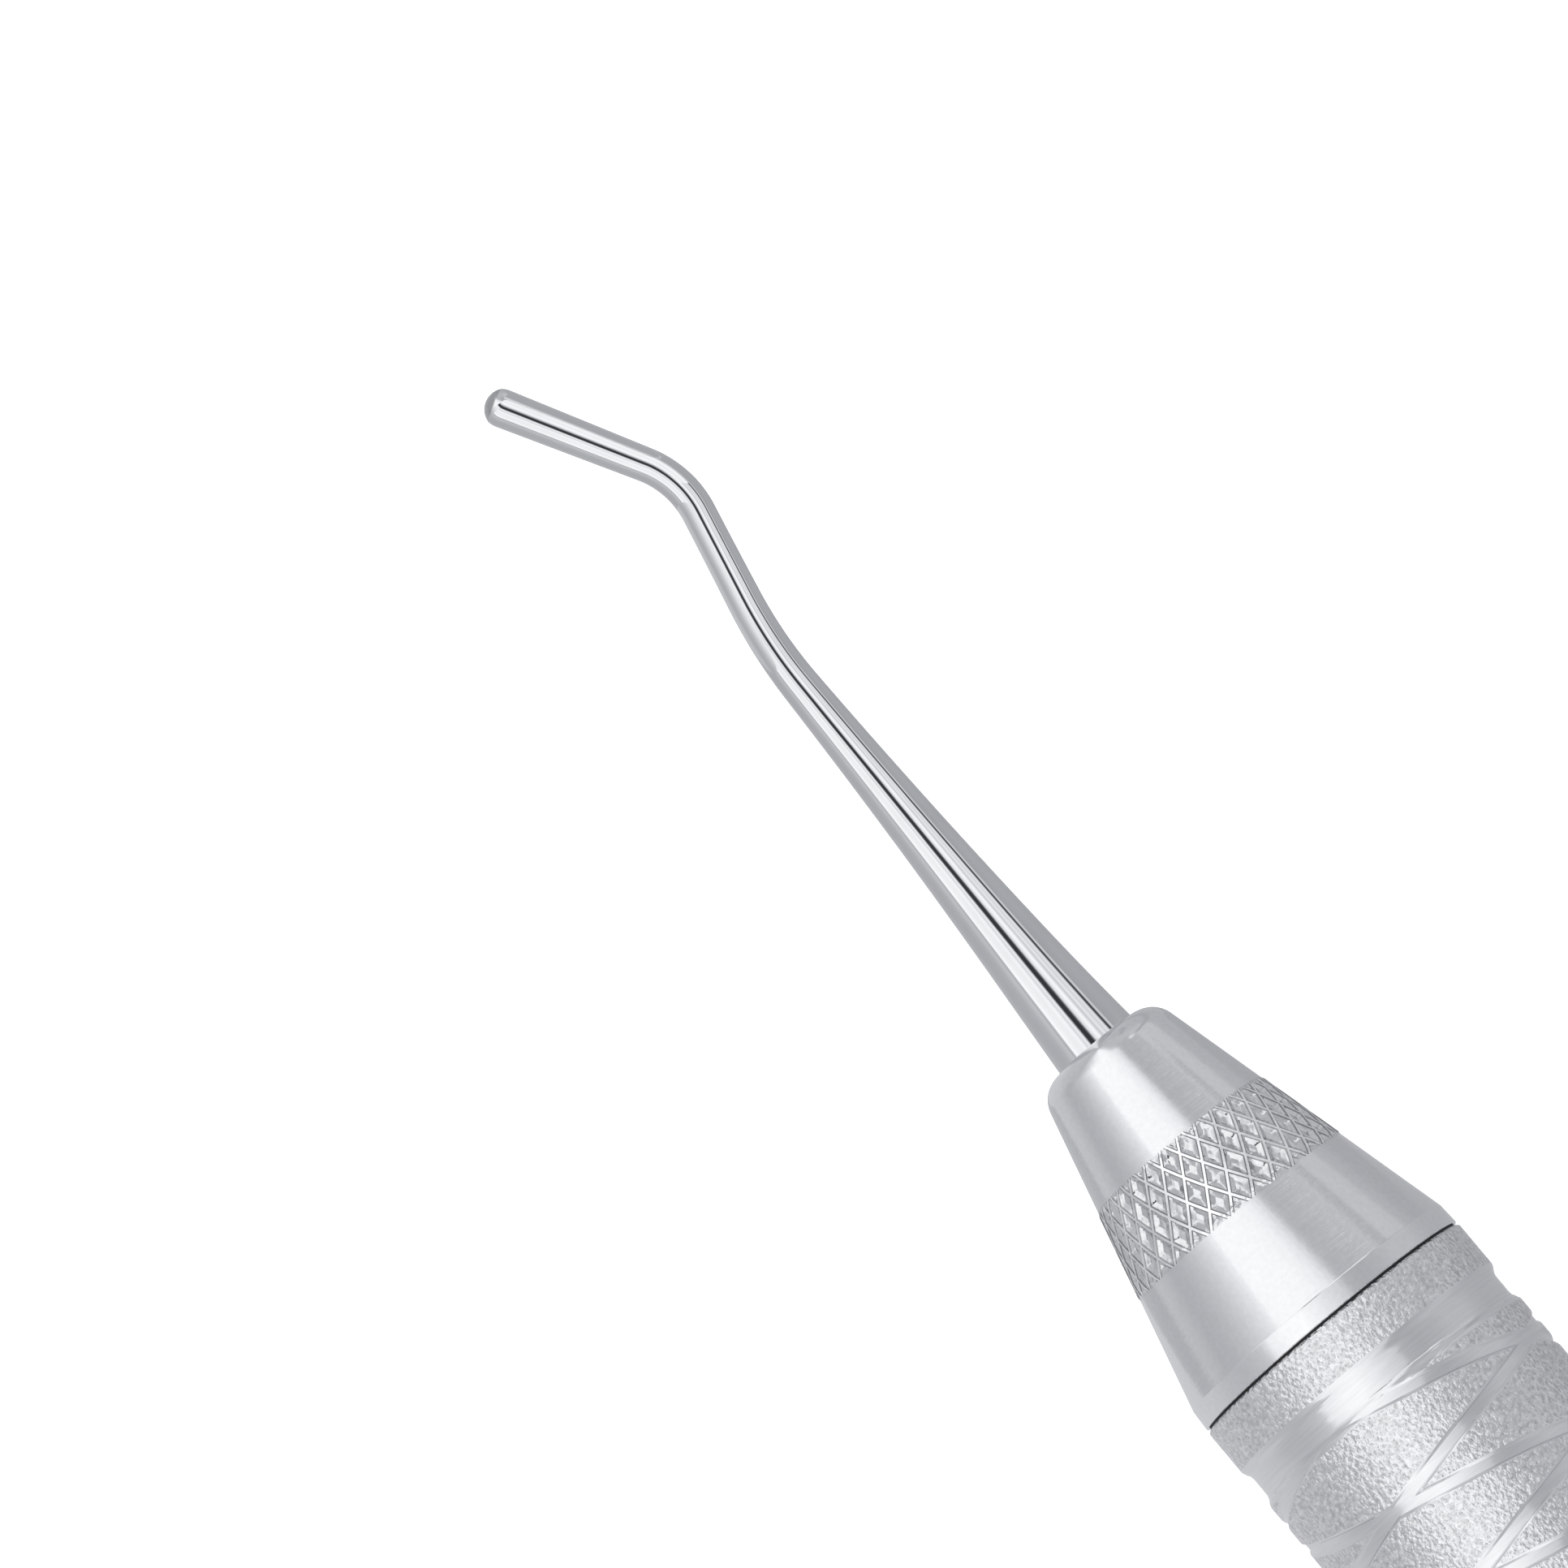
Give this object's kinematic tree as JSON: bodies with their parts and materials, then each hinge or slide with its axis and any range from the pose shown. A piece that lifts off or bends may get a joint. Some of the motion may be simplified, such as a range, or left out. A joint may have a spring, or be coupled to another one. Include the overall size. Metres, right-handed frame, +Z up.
{
  "type": "dental elevator",
  "caption": "Double-ended hand instrument: a large hollow grooved handle, two knurled nose cones, and contra-angled round rods with domed ends.",
  "frame": {"origin": "on the handle's axis, half way along the tube", "axes": "+X along the handle towards the front working end, +Z up and square to the plane in which both ends bend"},
  "size_m": [0.1754, 0.01, 0.01],
  "materials": {
    "polished_steel": "mirror polished stainless steel",
    "satin_steel": "fine turned satin stainless steel",
    "blasted_steel": "fine bead-blasted stainless steel with polished crossing grooves",
    "seal_rubber": "matt black"
  },
  "bodies": {
    "root": {"front_working_end": "polished_steel", "front_nose_cone": "satin_steel", "front_seal_ring": "seal_rubber", "handle_tube": "blasted_steel", "rear_seal_ring": "seal_rubber", "rear_nose_cone": "satin_steel", "rear_working_end": "polished_steel"}
  },
  "joints": []
}
